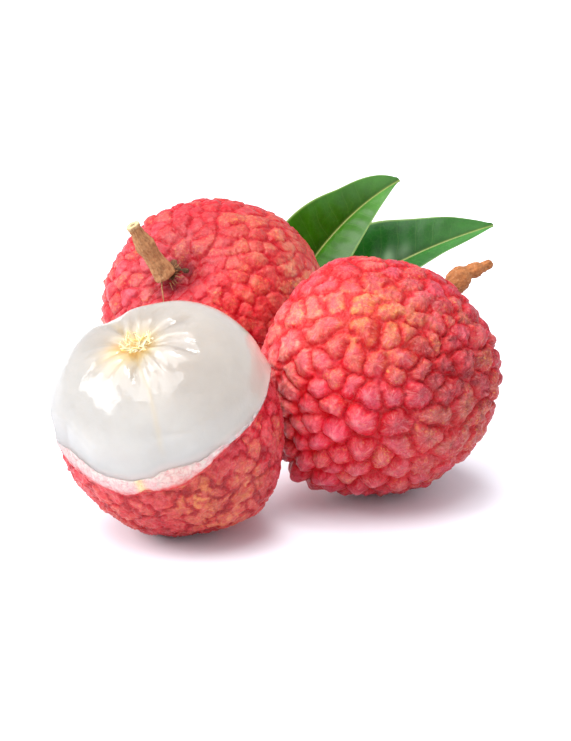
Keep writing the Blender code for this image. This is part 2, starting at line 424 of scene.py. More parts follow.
def lay_cells(directions, radius, seed, regions, rest, axis):
    """Which cell each point is in, how far inside its border, and the way there from the cell's peak.

    With an axis, the cells are longer away from it; without one, they are longer round the upright."""
    draw, noise = np.random.default_rng(seed), Noise(seed)
    sites = scatter(draw, lambda where: blend_regions(where, regions, rest).spacing, radius)
    traits = blend_regions(sites, regions, rest)
    turn = np.cross(sites, unit(draw.normal(size=sites.shape)))
    main = np.cross(sites, (0, 0, 1)) if axis is None else np.cross(np.cross(sites, axis), sites)
    along = unit(unit(main) + 0.45 * unit(turn))
    places = directions * radius
    warp = np.stack([noise.fractal(places + 31 * side, 4, 3, 0.55) for side in range(3)], 1)
    local = blend_regions(directions, regions, rest)
    bent = places + local.warp[:, None] * warp
    bent += 0.16 * np.stack([noise(places + 57 * side, 1.3) for side in range(3)], 1)
    owner, border = find_cells(bent, sites * radius, along, traits.stretch, local.soft)
    border = np.maximum(border - local.valley * (1 + 0.6 * noise(places, 3)), 0)
    depth = np.full(len(sites), LEAST_DEPTH)
    np.maximum.at(depth, owner, border)
    peak = sites * radius
    deepest = border >= depth[owner] * 0.999
    peak[owner[deepest]] = bent[deepest]
    peak += (depth * traits.lean)[:, None] * (LEAN - sites * (sites @ LEAN)[:, None])
    return SimpleNamespace(
        draw=draw, noise=noise, count=len(sites), local=local, directions=directions, places=places,
        warp=warp, owner=owner, depth=depth, inside=border / depth[owner], away=bent - peak[owner],
    )


def tubercles(directions, radius, seed, regions, rest, axis=None):
    """The cells of a rind with their height (mm, 0 in the grooves) and what the colours need."""
    cells = lay_cells(directions, radius, seed, regions, rest, axis)
    noise, local, places, warp = cells.noise, cells.local, cells.places, cells.warp
    depth, owner = cells.depth, cells.owner
    far = np.linalg.norm(cells.away, axis=1) / depth[owner]
    share = np.clip(cells.inside, 0, 1)
    dome = (1 - (1 - share) ** local.flat) ** 0.75
    cone = bell(far, 0.55)
    size = np.clip(depth / 1.6, 0.3, 1.15) * cells.draw.uniform(0.82, 1.15, cells.count)
    cells.spoke = unit(cells.away + 1e-9) * 2.4 + owner[:, None] * 5.3 % 97 + 0.3 * cells.away
    merge = smooth(noise.fractal(places + 60, 3.2, 2, 0.6), 0.25, 0.75) * local.merge
    shape = (0.72 - 0.12 * local.point) * dome + (0.05 + 0.25 * local.point) * cone + 0.15 * share
    shape += merge * (0.62 - shape) * (1 - share)
    shape -= 0.5 * local.dish * bell(far, 0.5)
    folds = 1 - np.abs(noise.fractal(places + 0.6 * warp, 2, 2, 0.6))
    wrinkles = 0.06 * noise.fractal(cells.spoke, 0.9, 2, 0.7) * smooth(far, 0.12, 0.7)
    wrinkles += 0.05 * noise.fractal(places + 0.2 * warp, 0.8, 2, 0.6)
    cells.height = shape * size[owner] * local.height + local.crumple * (folds**2 - 0.5) * 1.6
    cells.height += wrinkles * local.wrinkle + 0.16 * noise(places, 9)
    cells.share = share + 0.8 * merge * (1 - share)
    cells.peak = cone * smooth(depth, 0.5, 1.3)[owner]
    cells.hollow = bell(far, 0.3) * smooth(depth, 0.9, 1.6)[owner] * local.dish
    cells.speckled = (cells.draw.random(cells.count) ** 2.5)[owner]
    return cells


def shades(groove, side, top, tip, steps):
    """A rind's colours from its grooves to its tips, and the shares of a cell where they change."""
    return SimpleNamespace(
        groove=linear(*groove), side=linear(*side), top=linear(*top), tip=linear(*tip), steps=steps
    )


def rind_tint(cells, colours, patches):
    """The rind's colour at each point: red grooves with painted shade at their bottoms, paler tops, cells
    that differ, and whole areas that do, some of them painted light or painted shade.

    A patch is (direction, spread in degrees, colour, strength, size of its own blotches in mm)."""
    noise, share, places = cells.noise, cells.share, cells.places
    wander = noise.fractal(places + 90, 3, 4, 0.62)
    low, high = colours.steps
    base = mix(colours.groove, colours.side, smooth(share + 0.1 * wander, 0.02, low))
    base = mix(base, colours.top, smooth(share + 0.25 * wander, low, high))
    base = mix(base, colours.tip, 0.75 * smooth(cells.peak + 0.15 * wander, 0.45, 0.95) * cells.local.point)
    for centre, spread, colour, strength, blotch in patches:
        mask = spot(cells.directions, centre, spread) * strength * (0.15 + 0.85 * smooth(share, 0.04, 0.34))
        blotches = smooth(noise.fractal(places + 7 * spread, blotch, 4, 0.65), -0.2, 0.5)
        base = mix(base, colour, np.clip(mask * (0.2 + 0.8 * blotches), 0, 1))
    speckled = cells.speckled * smooth(share + 0.3 * wander, 0.15, 0.6)
    base = mix(base, linear(230, 138, 96), 0.22 * np.clip(speckled, 0, 1))
    base = mix(base, linear(160, 62, 62), 0.75 * cells.hollow)
    # Each cell's own tone, a random wander, and painted shade that darkens the grooves' bottoms.
    shade = cells.draw.uniform(0.84, 1.14, cells.count)[cells.owner]
    shade *= (1 + 0.14 * wander) * (0.85 + 0.15 * smooth(share, 0, 0.22))
    return np.clip(base * shade[:, None] ** (0.45, 1.35, 1.25), 0, 1)


def rind_values(cells, tint):
    """What the rind's shader reads at each point."""
    fleck = cells.local.fleck * smooth(cells.share, 0, 0.3) * (0.18 + 1.3 * cells.speckled)
    crown = smooth(cells.share, 0.06, 0.5) * cells.local.streak
    return {"tint": tint, "fleck": fleck, "crown": crown, "spoke": cells.spoke}


def above_table(points):
    """The points, with those that would go into the table laid just above it."""
    points[:, 2] = np.maximum(points[:, 2], TABLE_GAP)
    return points


# Whole fruits

SPHERE, SPHERE_FACES = sphere_grid(128)


def whole_outline(angle, radius):
    """Distance from the centre at an angle from the stalk, the CAD's own outline."""
    shape = 1 + 0.055 * bell(180 - angle, 25) - 0.05 * bell(angle, 48)
    return radius * shape - 2.3 * bell(angle, 17)


def whole_fruit(name, body, neighbours, material, cells, colours, patches, swells, gains):
    """A whole fruit's skin: the CAD's outline with the cells' relief in it, lying on the table."""
    reach = whole_outline(angle_between(SPHERE, body.axis), body.radius) + swelling(SPHERE, swells)
    room = ROOM
    for other in neighbours:
        room = room * (1 - spot(SPHERE, other.centre - body.centre, 25))
    reach += room + cells.height - 0.92 * cells.local.height - 0.8 * cells.local.crumple
    points = above_table(body.centre + SPHERE * reach[:, None])
    values = rind_values(cells, rind_tint(cells, colours, patches) * painted_shading(SPHERE, gains))
    new_piece(name, points, SPHERE_FACES, material, "rind", name.replace("_skin", ""), **values)


COMMON = dict(
    spacing=3.4, height=1.15, valley=0.06, point=0.5, soft=0.3, flat=2.8, lean=0.1, merge=0.5, crumple=0.1,
    wrinkle=1.0, stretch=0.25, fleck=0.6, dish=0.0, warp=0.55, streak=0.8,
)
FLECKS = (250, 178, 86)

# The right fruit: pointed knobs at its left, crumpled cells at its right

right_regions = [
    region(-0.22, -0.2, 0.95, 34, spacing=4.1, height=2.6, valley=-0.16, flat=2, point=0.9, merge=0.15,
           lean=0.2, soft=0.46),
    region(-0.38, -0.72, 0.58, 26, spacing=3.1, height=2.3, valley=-0.14, flat=2, point=0.9, merge=0.1,
           lean=0.3, soft=0.38),
    region(-0.35, 0.5, 0.8, 28, spacing=4.2, height=0.65, valley=0.15, point=0.3, merge=1.2, fleck=1,
           crumple=0.2),
    region(-0.85, 0.25, 0.45, 28, spacing=3.6, height=0.55, stretch=0.6, point=0.1, merge=0.9, crumple=0.2),
    region(0.62, -0.5, 0.6, 27, spacing=6.6, height=0.8, point=0, crumple=0.34, stretch=0.7, merge=0.8,
           dish=1.3),
    region(0.52, 0.12, 0.85, 24, spacing=2.5, height=1.7, point=0.5, crumple=0.42, soft=0.22, wrinkle=1.9),
    region(0.85, 0.05, 0.5, 18, spacing=3, height=1.3, point=0.4, crumple=0.46, soft=0.15, wrinkle=2),
    region(0.1, 0.92, 0.38, 28, spacing=3.6, height=0.85, point=0.2, crumple=0.24, stretch=0.6, merge=0.9),
    (RIGHT.axis, 24, dict(spacing=2.3, height=1.15, point=0.6)),
    region(0.98, 0.15, 0, 20, spacing=2.7, height=2.6, point=1, soft=0.15),
    region(0.55, -0.83, 0, 20, spacing=3, height=1.8, point=0.9),
    region(-0.2, -0.97, 0.1, 22, spacing=3, height=2, point=1),
]
RED = shades((212, 0, 24), (216, 16, 46), (215, 66, 90), (234, 130, 138), steps=(0.14, 0.95))
right_patches = [
    (way(-0.1, 0.52, 0.85), 22, linear(240, 142, 72), 0.85, 1.6),
    (way(0.2, 0.42, 0.88), 18, linear(214, 118, 66), 0.6, 1.4),
    (way(-0.75, 0.3, 0.55), 24, linear(248, 150, 124), 0.8, 2),
    (way(0.72, -0.42, 0.55), 30, linear(210, 122, 104), 0.8, 2.5),
    # Painted shade: a deep dusky red over the right side, away from the lamps.
    (way(0.78, 0.12, 0.6), 34, linear(158, 24, 40), 1.35, 2.5),
    # Painted light on the fruit's left edge, in the shade of the peeled fruit.
    (way(-0.92, -0.12, 0.38), 22, linear(255, 150, 150), 0.9, 2.2),
]
right_swells = [
    (way(0.98, 0.15, 0.1), 24, 0.9),
    (way(0.8, 0.58, 0.1), 22, 0.6),
    (way(0.45, 0.88, 0.1), 16, 0.5),
    (way(0.6, -0.8, 0.1), 22, -0.45),
    (way(-0.62, -0.78, 0.1), 20, 0.9),
    (way(0.98, -0.05, 0), 34, 0.45),
    (way(0.2, -0.97, 0), 40, 0.3),
    (way(-0.33, 0.94, 0.05), 20, 1.2),
    (way(-0.55, -0.83, 0), 14, 0.3),
]
# Painted light on the right fruit's lower left and left, where the peeled fruit shades it, and painted shade
# on its middle and right.
right_painted_shading = [
    (way(-0.6, -0.36, 0.7), 30, 1.45),
    (way(-0.85, 0.3, 0.42), 20, 1.22),
    (way(0.38, -0.27, 0.88), 24, 0.84),
    (way(0.8, -0.05, 0.6), 20, 0.9),
]
rind = rind_material("lychee_rind", FLECKS)
right_cells = tubercles(SPHERE, RIGHT.radius, 11, right_regions, COMMON)
whole_fruit(
    "right_fruit_skin", RIGHT, (PEELED, LEFT), rind, right_cells, RED, right_patches, right_swells,
    right_painted_shading,
)

# The left fruit: smoother, with low pillows that run away from the stalk's hollow

STALK_DIP = way(-0.27, 0.36, 0.89)
left_common = {
    **COMMON, "point": 0.1, "height": 1.6, "lean": 0, "merge": 0.55, "soft": 0.22, "flat": 3.8,
    "stretch": 0.5, "valley": -0.08, "streak": 0.12, "wrinkle": 0.7,
}
left_regions = [
    (STALK_DIP, 15, dict(spacing=1.8, height=0.95, point=0, merge=0.1, fleck=0.1, stretch=0.5)),
    (STALK_DIP, 40, dict(spacing=3.1, height=1.15, valley=0.03, stretch=0.62, merge=0.45, fleck=0.3)),
    region(0.75, 0.25, 0.55, 34, spacing=2.1, height=0.55, crumple=0.12, stretch=0.84, flat=2.2, fleck=0.9,
           merge=0.35),
    region(0.45, -0.2, 0.85, 26, height=1, merge=0.7),
    region(0.2, 0.55, 0.81, 30, spacing=4.2, height=1.15, merge=0.9, stretch=0.6),
    region(-0.95, 0.25, 0, 32, spacing=2.9, height=2, point=0.7),
]
PILLOWS = shades((200, 0, 30), (208, 14, 38), (204, 42, 58), (228, 110, 108), steps=(0.07, 0.8))
left_patches = [
    # The rind's own dusky tone round the left fruit's stalk, deepened with painted shade in its hollow.
    (way(-0.31, 0.38, 0.87), 20, linear(172, 56, 74), 0.9, 3),
    # Painted shadow at the foot of the stalk.
    (way(-0.33, 0.38, 0.86), 10, linear(120, 22, 38), 1.1, 9),
    (way(0.74, 0.25, 0.6), 36, linear(228, 144, 112), 0.85, 2.4),
    (way(-0.85, 0.2, 0.4), 40, linear(214, 100, 116), 0.6, 4),
    (way(0.25, 0.1, 0.95), 30, linear(214, 28, 46), 0.9, 4),
]
left_swells = [
    (STALK_DIP, 12, -1.8),
    (way(0.1, 0.35, 0.93), 18, 0.5),
    (way(-0.5, 0.87, 0.1), 20, 0.85),
    (way(-0.9, 0.42, 0.1), 22, 0.75),
    (way(-0.99, 0, 0.1), 20, 0.4),
    (way(0.05, 1, 0), 16, 0.3),
    (way(0.6, 0.8, 0), 20, 0.35),
]
# Painted shade round the left fruit's stalk and painted light on its front.
left_painted_shading = [(way(-0.35, 0.54, 0.76), 28, 0.8), (way(0.26, 0.1, 0.96), 16, 1.4)]
smooth_rind = rind_material("smooth_lychee_rind", FLECKS, relief=0.5)
left_cells = tubercles(SPHERE, LEFT.radius, 23, left_regions, left_common, STALK_DIP)
whole_fruit(
    "left_fruit_skin", LEFT, (RIGHT, PEELED), smooth_rind, left_cells, PILLOWS, left_patches, left_swells,
    left_painted_shading,
)


# Peeled fruit: a cup of rind with the flesh bulging out of it

SIDE_HINT = np.array([0.945, -0.066, 0.32])  # turns about the peeled fruit's axis start near this way
P_SIDE = unit(SIDE_HINT - PEELED.axis * (SIDE_HINT @ PEELED.axis))
P_FRONT = np.cross(PEELED.axis, P_SIDE)
TORN_LEVEL = 17.45  # mm from the centre to the white torn edge, where it meets the flesh
FLESH_RADIUS, FLESH_SHIFT = 17.5, 2.2  # mm: the bare flesh is a ball, moved towards the stalk end
RIM = np.array([  # turn, where the skin ends, and how wide the white torn edge is, all in degrees
    (-174, 75, 4), (-162, 73, 7), (-150, 72.5, 10.5), (-138, 73.5, 10), (-126, 76.5, 9), (-114, 80, 10.5),
    (-108, 79.5, 9), (-102, 77.5, 7), (-96, 79, 8.5), (-90, 80, 11), (-84, 80, 11), (-76, 79, 8.5),
    (-70, 77, 6), (-60, 75.5, 4), (-50, 75, 3), (-36, 76, 3), (-6, 76, 1), (4, 78, 0.5), (12, 82, 0.5),
    (20, 84.5, 0.5), (30, 84.5, 0.5), (42, 81.5, 0.5), (60, 77.5, 1), (90, 75, 3), (115, 74, 3.5),
    (140, 75, 2), (174, 76, 0.5),
]).T


def turn_gap(turn, middle):
    """Degrees between two turns about an axis, -180 to 180."""
    return (np.asarray(turn) - middle + 180) % 360 - 180


def band(value, rise, full, fall, end):
    """Grows from 0 to 1 between rise and full, and goes back to 0 between fall and end."""
    return smooth(value, rise, full) * (1 - smooth(value, fall, end))


def peeled_way(angle, turn):
    """The direction at an angle from the peeled fruit's stalk end and a turn about its axis, in degrees."""
    angle, turn = np.radians(angle)[..., None], np.radians(turn)[..., None]
    return np.sin(angle) * (np.cos(turn) * P_SIDE + np.sin(turn) * P_FRONT) + np.cos(angle) * PEELED.axis


def peeled_turn(directions):
    """The turns of directions about the peeled fruit's axis, in degrees."""
    return np.degrees(np.arctan2(directions @ P_FRONT, directions @ P_SIDE))


DIMPLE = peeled_way(4.5, -34.0)


def rim(turn):
    """Where the torn skin ends and how far up the white torn edge runs, in degrees, at each turn."""
    return [np.interp(turn, RIM[0], row, period=360) for row in RIM[1:]]


def cup_outline(angle):
    return PEELED.radius * (1 + 0.02 * bell(180 - angle, 25))


def bulge(angle):
    """How far the bare flesh reaches from the centre, without its dimple and folds."""
    slope = np.radians(angle)
    return FLESH_SHIFT * np.cos(slope) + np.sqrt(FLESH_RADIUS**2 - (FLESH_SHIFT * np.sin(slope)) ** 2)


def painted_left_shade(directions):
    """Painted shade: how much darker the flesh's colour is made towards the bunch's left, where the key lamp
    lights it most.
    """
    edge = 1 - 0.86 * spot(directions, way(-1, -0.2, -0.2), 38)
    return edge * (1 - 0.13 * spot(directions, way(-0.77, -0.05, 0.63), 40))


FLESH_GROOVES = [  # round the dimple: degrees from the camera's right, width in degrees, and depth in mm
    (-14, 5, 0.2), (-43, 5, 0.2), (-62, 4, 0.18), (-88, 5, 0.22), (-124, 6, 0.1),
    (22, 6, 0.16), (52, 6, 0.14), (82, 7, 0.14), (112, 8, 0.16), (150, 8, 0.12),
]
flesh_swells = [(way(-0.25, 0.97, 0.05), 14, -0.6), (way(0.3, 0.95, 0), 16, 0.3)]


def flesh_places():
    """Where the flesh's points are, about the fruit's axis and about its dimple."""
    angle, turn = angle_between(SPHERE, PEELED.axis), peeled_turn(SPHERE)
    skin, width = rim(turn)
    near = angle_between(SPHERE, DIMPLE)
    spin = peeled_turn(SPHERE - DIMPLE * (SPHERE @ DIMPLE)[:, None])
    beside = SPHERE - DIMPLE
    return SimpleNamespace(
        angle=angle, turn=turn, past_rim=angle - (skin - width), near=near, spin=spin,
        ring=np.stack([np.cos(np.radians(spin)), np.sin(np.radians(spin)), near / 60], 1),
        clock=np.degrees(np.arctan2(beside @ way(0, 1, 0), beside @ way(1, 0, 0))),
        seam=bell(turn_gap(turn, -78 - 0.25 * np.maximum(angle - 30, 0)), 1.8),
        valley=bell(turn_gap(turn, -80), 14) * bell(angle - 18, 16),
    )


def flesh_reach(at, noise):
    """The flesh's distance from the centre: folded above the rim, and inside the cup below it."""
    near, ring = at.near, at.ring
    outside = bulge(at.angle) - 1.9 * bell(near, 11.5) - 0.8 * bell(near, 25) + 0.5 * bell(near, 3.5)
    outside += 0.42 * noise(ring * (2.6, 2.6, 0.5)) * band(near, 3, 9, 16, 38)
    folds = 0.06 + 0.2 * bell(turn_gap(at.spin, -40), 55)
    outside += folds * noise(ring * (7.5, 7.5, 1) + 3) * band(near, 3, 8, 15, 34)
    for place, wide, deep in FLESH_GROOVES:
        bent = at.clock - place + 5 * noise(ring * (3, 3, 9) + place)
        outside -= deep * bell(turn_gap(bent, 0), wide) * band(near, 5, 11, 22, 33)
    outside += 0.1 * noise.fractal(SPHERE * 17, 7, 2)
    outside -= 1.2 * bell(turn_gap(at.turn, 110), 13) * band(at.angle, 4, 12, 24, 58)
    outside -= 0.06 * at.seam * band(at.angle, 8, 16, 58, 70) + 0.35 * at.valley
    outside += swelling(SPHERE, flesh_swells)
    outside += (TORN_LEVEL + 0.02 - outside) * smooth(at.past_rim, -17, 0.5)
    inside = cup_outline(at.angle) - 1.5 - 1.2 * smooth(at.angle, 85, 110)
    above = 1 / (1 + np.exp(np.clip((at.past_rim - 3.2) / 0.7, -30, 30)))
    return inside + (outside - inside) * above


def flesh_tint(at, noise):
    """The flesh's colour: pearly, cream in the dimple, with painted shade on its top, right and left, and
    painted light at its torn edge.
    """
    fibres = np.abs(noise(at.ring * (6, 6, 1.5)))
    cream = 1.05 * bell(at.near, 8) + 0.45 * spot(SPHERE, way(-0.4, 0.56, 0.73), 9) * (1 - fibres)
    cream += 0.12 * at.seam * band(at.angle, 10, 18, 55, 66) + 0.06 * at.valley
    cream += 0.25 * bell(turn_gap(at.turn, 112), 9) * bell(at.angle, 30)
    pink = 0.6 * bell(turn_gap(at.turn, 92 + 12 * noise(SPHERE * 17, 4)), 5) * bell(at.angle - 40, 12)
    low = smooth(at.angle, 50, 74) * (0.35 + 0.35 * bell(turn_gap(at.turn, 0), 80))
    # Painted light: pale pink that lifts the shade where the flesh turns under at its torn edge, most at the
    # front.
    painted_edge_light = smooth(at.past_rim, -5, 1) * (0.3 + 0.45 * bell(turn_gap(at.turn, -90), 65))
    # Painted shade: the flesh's colour made darker and warmer on its top and right and round the dimple, and
    # darker towards its upper left.
    painted_top_shade = smooth(SPHERE @ way(0.45, 0.85, 0.25), 0.12, 0.72) + 0.55 * bell(at.near, 26)
    tint = linear(208, 205, 200) * (1 - 0.38 * spot(SPHERE, way(-0.5, 0.8, 0.2), 46))[:, None]
    tint = tint * mix(np.ones(3), np.array([0.9, 0.85, 0.81]), np.clip(painted_top_shade, 0, 1.3))
    for colour, share in (
        ((250, 216, 140), cream),
        ((236, 170, 84), 0.5 * spot(SPHERE, way(-0.405, 0.634, 0.658), 4)),
        # Painted shade: a cool grey on the flesh's right top limb.
        ((186, 196, 190), 0.4 * spot(SPHERE, way(0.8, 0.58, 0.1), 20)),
        ((240, 178, 168), pink),
        ((204, 194, 182), low),
        ((252, 218, 202), painted_edge_light),
    ):
        tint = mix(tint, linear(*colour), np.clip(share, 0, 1))
    # Painted light: the lower front of the flesh is made brighter, then the whole flesh takes the painted
    # shade towards the left.
    lift = 0.15 * smooth(at.angle, 57, 71) * bell(turn_gap(at.turn, -85), 48)
    return tint * (painted_left_shade(SPHERE) * (1 + lift))[:, None]


def flesh_material():
    """Flesh: light goes deep into it, and a smooth wet coat lies over it."""
    look = Look(
        "lychee_flesh", Roughness=0.4, Specular_IOR_Level=0.04, IOR=1.4, Subsurface_Weight=1,
        Subsurface_Scale=0.012, Subsurface_Radius=(1, 0.85, 0.72), Coat_Roughness=0.02, Coat_IOR=1.45,
    )
    base = look.times(look.colour("tint"), look.ramp(look.noise(5), (0.3, 0.93), (0.7, 1)))
    fine = look.bump(look.noise(0.8, 3, 0.6), 0.15, 0.14)
    fine = look.bump(look.noise(2.2), 0.28, 0.34, fine)
    return look.wire(Base_Color=base, Normal=fine, Coat_Normal=fine, Coat_Weight=look.value("wet"))


def build_flesh():
    at, noise = flesh_places(), Noise(5)
    points = PEELED.centre + SPHERE * flesh_reach(at, noise)[:, None]
    wet = 1 - spot(SPHERE, way(-1, 0.05, -0.15), 42) - 0.7 * spot(SPHERE, way(-0.25, 0.97, -0.1), 26)
    new_piece(
        "peeled_flesh_skin", points, SPHERE_FACES, flesh_material(), "flesh", "peeled_flesh",
        tint=flesh_tint(at, noise), wet=np.clip(wet, 0.05, 1),
    )


cup_common = {
    **COMMON, "spacing": 4, "height": 0.5, "point": 0, "soft": 0.2, "merge": 1, "crumple": 0.27,
    "fleck": 0.5, "warp": 1.3, "stretch": 0.5, "streak": 0.25,
}
cup_regions = [region(0.6, -0.3, 0.8, 35, spacing=3.6, stretch=0.6, crumple=0.26, fleck=0.6)]
CUP = shades((180, 0, 28), (204, 18, 42), (214, 56, 70), (228, 120, 108), steps=(0.14, 0.6))
cup_swells = [
    (way(0, -0.93, 0.37), 22, -0.4),
    (way(-0.62, -0.77, 0.1), 22, -0.6),
    (way(0.75, -0.66, 0.1), 22, 1.7),
]
# Painted shade low on the cup's front and painted light on its right.
cup_painted_shading = [(way(0.38, -0.65, 0.68), 26, 0.87), (way(0.76, 0.13, 0.64), 14, 1.4)]
cup_patches = [
    (way(0.22, -0.6, 0.76), 13, linear(244, 158, 84), 0.85, 1.2),
    (way(0.66, -0.5, 0.55), 10, linear(246, 178, 104), 0.7, 1.3),
    (way(-0.5, -0.75, 0.4), 24, linear(232, 128, 100), 0.45, 1.5),
    (way(0.45, -0.85, 0.3), 16, linear(236, 150, 92), 0.6, 1.3),
]
CUP_SIDES, CUP_RINGS, TORN_RINGS, LINING_RINGS = 420, 150, 10, 12
CUP_END = 179.6  # degrees from the stalk end to the cup's furthest ring
LINING = 15  # mm from the centre to the lining under the flesh
CUP_TURN = np.arange(CUP_SIDES) * 360 / CUP_SIDES
CUP_RING = rows_of(np.cos(np.radians(CUP_TURN)), np.sin(np.radians(CUP_TURN)), 0)


def cup_skin(skin):
    """The outside of the cup up to where its skin ends: its reach (mm) in each direction and its values."""
    rows = CUP_END + (skin - CUP_END) * np.linspace(0, 1, CUP_RINGS)[:, None] ** 0.9
    ways = peeled_way(rows, np.broadcast_to(CUP_TURN, rows.shape)).reshape(-1, 3)
    cells = tubercles(ways, PEELED.radius, 37, cup_regions, cup_common)
    away = (rows - skin).reshape(-1)
    edge = 1 - smooth(away, 0, 3)
    reach = cup_outline(rows.reshape(-1)) + swelling(ways, cup_swells) + 0.1 * edge
    reach += (cells.height - 0.9 * cells.local.height - 0.8 * cells.local.crumple) * (1 - 0.6 * edge)
    tint = rind_tint(cells, CUP, cup_patches) * painted_shading(ways, cup_painted_shading)
    tint = mix(tint, linear(214, 40, 48), 0.7 * np.clip(1 - away / 1.6, 0, 1))
    return ways, reach, rind_values(cells, tint)


def torn_ring(noise, share, row, last):
    """A ring of the white torn edge, at a share of the way from the skin's last ring to the flesh."""
    fibre = 0.1 * noise.fractal(CUP_RING + share * 0.15, 0.05, 2)
    level = last + (TORN_LEVEL - last) * share**1.2 + (0.18 + fibre) * math.sin(math.pi * share)
    ways = peeled_way(row, CUP_TURN)
    colour = np.broadcast_to(mix(linear(238, 188, 188), linear(240, 214, 208), share), (CUP_SIDES, 3))
    colour = mix(colour, linear(226, 186, 170), 0.5 * bell(turn_gap(CUP_TURN, -82), 13))
    blush = np.clip(0.8 - share * 2.6 + 0.5 * noise(CUP_RING + share, 0.08), 0, 1)
    colour = mix(colour, linear(232, 88, 84), blush)
    colour = mix(colour, linear(246, 218, 158), 0.9 * bell(turn_gap(CUP_TURN, -103), 2.4))
    # The torn edge gets the same painted shade towards the bunch's left, three quarters as strong.
    return PEELED.centre + ways * level[:, None], colour * (0.25 + 0.75 * painted_left_shade(ways))[:, None]


def build_cup():
    """The cup: the rind outside, the white torn edge, and a lining that closes it under the flesh."""
    noise = Noise(41)
    skin, width = rim(CUP_TURN)
    skin = skin + 0.55 * (1.1 * noise.fractal(CUP_RING, 0.22, 3, 0.6) + 0.5 * noise(CUP_RING, 0.035))
    width = np.maximum(width + 0.5 * noise.fractal(CUP_RING + 5, 0.12, 2), 0.2)
    ways, reach, values = cup_skin(skin)
    points, tints = [PEELED.centre + ways * reach[:, None]], [values["tint"]]
    for share in np.arange(1, TORN_RINGS + 1) / TORN_RINGS:
        place, tint = torn_ring(noise, share, skin - width * share, reach[-CUP_SIDES:])
        points.append(place)
        tints.append(tint)
    start = skin - width
    for step in range(1, LINING_RINGS + 1):
        row = start + (CUP_END - start) * (step / LINING_RINGS) ** 1.5
        points.append(PEELED.centre + peeled_way(row, CUP_TURN) * (LINING + 0.7 / (1 + step)))
        tints.append(np.broadcast_to(linear(250, 232, 226), (CUP_SIDES, 3)))
    bare = (TORN_RINGS + LINING_RINGS) * CUP_SIDES
    for label in ("fleck", "crown", "spoke"):
        values[label] = np.concatenate([values[label], np.zeros((bare, *values[label].shape[1:]))])
    values["tint"] = np.concatenate(tints)
    points = above_table(np.concatenate(points))
    faces = ring_faces(len(points) // CUP_SIDES, CUP_SIDES)
    faces += [range(CUP_SIDES), range(len(points) - CUP_SIDES, len(points))[::-1]]
    cup = rind_material("peeled_lychee_rind", (236, 160, 92))
    new_piece("peeled_rind_skin", points, faces, cup, "peeled_rind", "peeled_rind", **values)


build_flesh()
build_cup()


# Lines and tubes

TWIST = (0.3, 0.5, 0.8)  # no tube runs this way, so that it can tell where each ring starts


def bezier(route, share):
    first, second, third, last = np.array(route, dtype=float)
    share = np.asarray(share)[:, None]
    rest = 1 - share
    return first * rest**3 + 3 * second * share * rest**2 + 3 * third * share**2 * rest + last * share**3


def relax(line, times):
    """Rounds off a line's corners and leaves its ends."""
    for _ in range(times):
        line[1:-1] = (line[:-2] + line[1:-1] * 2 + line[2:]) / 4
    return line


def through(route, rings, times):
    """An even, rounded line through a few points."""
    share, places = np.linspace(0, 1, rings), np.linspace(0, 1, len(route))
    return relax(np.stack([np.interp(share, places, side) for side in np.transpose(route)], 1), times)


def tube(centres, radii, sides, relief=0.0):
    """Rings of points round a line of centres, and the line's directions. Relief (mm) adds to the radii."""
    along = unit(np.gradient(centres, axis=0))
    first = unit(np.cross(along, unit(TWIST)))
    second = np.cross(along, first)
    turn = turns(sides)[:, None]
    out = np.cos(turn) * first[:, None] + np.sin(turn) * second[:, None]
    return centres[:, None] + out * (radii[:, None] + relief)[..., None], along


STRANDS, STRAND_STEP = 60, 0.11  # how many vein ends there are, and mm from one of their rings to the next
DIMPLE_DEPTH, DIMPLE_REACH = 2.35, 2.6  # mm: how deep the vein ends lie, and how far from the middle


def build_dimple_fibres():
    """The torn ends of the fruit's veins, left curled in the dimple."""
    draw = np.random.default_rng(19)
    side = unit(np.cross(DIMPLE, P_FRONT))
    front = np.cross(DIMPLE, side)
    floor = bulge(3.0) - DIMPLE_DEPTH
    skins, faces, tints = [], [], []
    rings, sides = 16, 8
    for strand in range(STRANDS):
        turn, spread = draw.uniform(0, 2 * math.pi), draw.uniform(0.3, 1.9)
        here = np.array([math.cos(turn) * spread, math.sin(turn) * spread, draw.uniform(-0.1, 0.3)])
        heading, line = draw.uniform(0, 2 * math.pi), []
        for step in range(rings):
            heading += draw.normal() * 0.32
            rise = 0.03 * math.sin(step * 0.5 + strand)
            here = here + (math.cos(heading) * STRAND_STEP, math.sin(heading) * STRAND_STEP, rise)
            here[:2] *= min(1, DIMPLE_REACH / np.linalg.norm(here[:2]))
            level = floor + here[2] + 0.16 * (here[:2] @ here[:2])
            line.append(PEELED.centre + side * here[0] + front * here[1] + DIMPLE * level)
        radius = draw.uniform(0.07, 0.16) * np.sin(np.linspace(0.25, math.pi - 0.25, rings))
        skins.append(tube(relax(np.array(line), 2), radius, sides)[0].reshape(-1, 3))
        faces += tube_faces(rings, sides, strand * rings * sides)
        shade = mix(linear(255, 244, 204), linear(255, 212, 118), draw.random() ** 1.3)
        tints.append(np.broadcast_to(shade, (rings * sides, 3)))
    look = Look(
        "dimple_fibre", Roughness=0.4, Specular_IOR_Level=0.4, Subsurface_Weight=0.5, Subsurface_Scale=0.001,
        Subsurface_Radius=(1, 0.8, 0.4),
    )
    speck = look.ramp(look.noise(0.5), (0.3, 0.88), (0.7, 1))
    material = look.wire(Base_Color=look.times(look.colour("tint"), speck))
    points, tints = np.concatenate(skins), np.concatenate(tints)
    new_piece("peeled_dimple_fibres", points, faces, material, "flesh", tint=tints)


# Bark: stalks, calyxes, the withered carpel, the twig and loose fibres

TAN, BROWN, OLIVE = linear(216, 160, 110), linear(150, 98, 62), linear(88, 60, 36)
CREAM, ORANGE = linear(255, 232, 180), linear(206, 134, 80)
STALK_RINGS, STALK_SIDES = 90, 72


